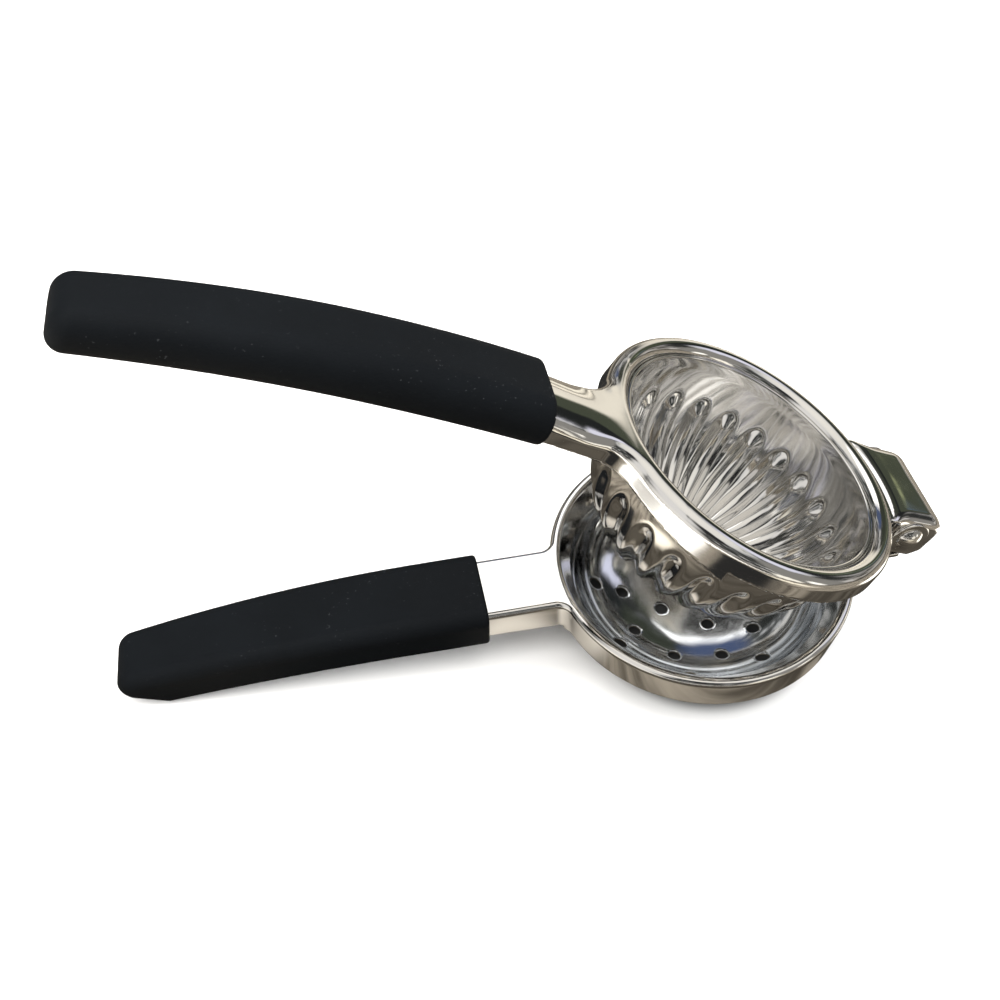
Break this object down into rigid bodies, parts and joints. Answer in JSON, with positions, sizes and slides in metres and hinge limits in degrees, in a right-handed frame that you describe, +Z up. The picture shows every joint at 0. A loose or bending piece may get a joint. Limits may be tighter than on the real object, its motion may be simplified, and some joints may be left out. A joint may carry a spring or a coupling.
{
  "type": "hinged lemon squeezer",
  "caption": "Hand-held hinged citrus press with a perforated bowl, a fluted press cup and two sleeved lever handles, standing open on its bowl",
  "frame": {"origin": "the middle of the small flat under the bowl, on the table plane that the squeezer stands on, with the jaws open at their rest angle", "axes": "+Z up from the table, +X from the handles toward the hinge, +Y along the rivet; the squeezer is symmetric about the plane y = 0"},
  "size_m": [0.2213, 0.0846, 0.1305],
  "materials": {
    "frame_steel": "polished",
    "bowl_steel": "polished",
    "cup_steel": "polished",
    "rivet_steel": "polished",
    "grip_rubber": "matte",
    "washer_plastic": "matte"
  },
  "bodies": {
    "lower_jaw": {"lower_frame": "frame_steel", "strainer_bowl": "bowl_steel", "lower_grip": "grip_rubber", "friction_washers": "washer_plastic", "spacer_tube": "rivet_steel"},
    "upper_jaw": {"upper_frame": "frame_steel", "press_cup": "cup_steel", "upper_grip": "grip_rubber", "hinge_rivet": "rivet_steel", "rivet_washers": "rivet_steel"}
  },
  "joints": [
    {"name": "jaw_hinge", "type": "hinge", "parent": "lower_jaw", "child": "upper_jaw", "pos_m": [0.05518, 0, 0.04215], "axis": [0, 1, 0], "range_deg": [-26, 64]}
  ]
}
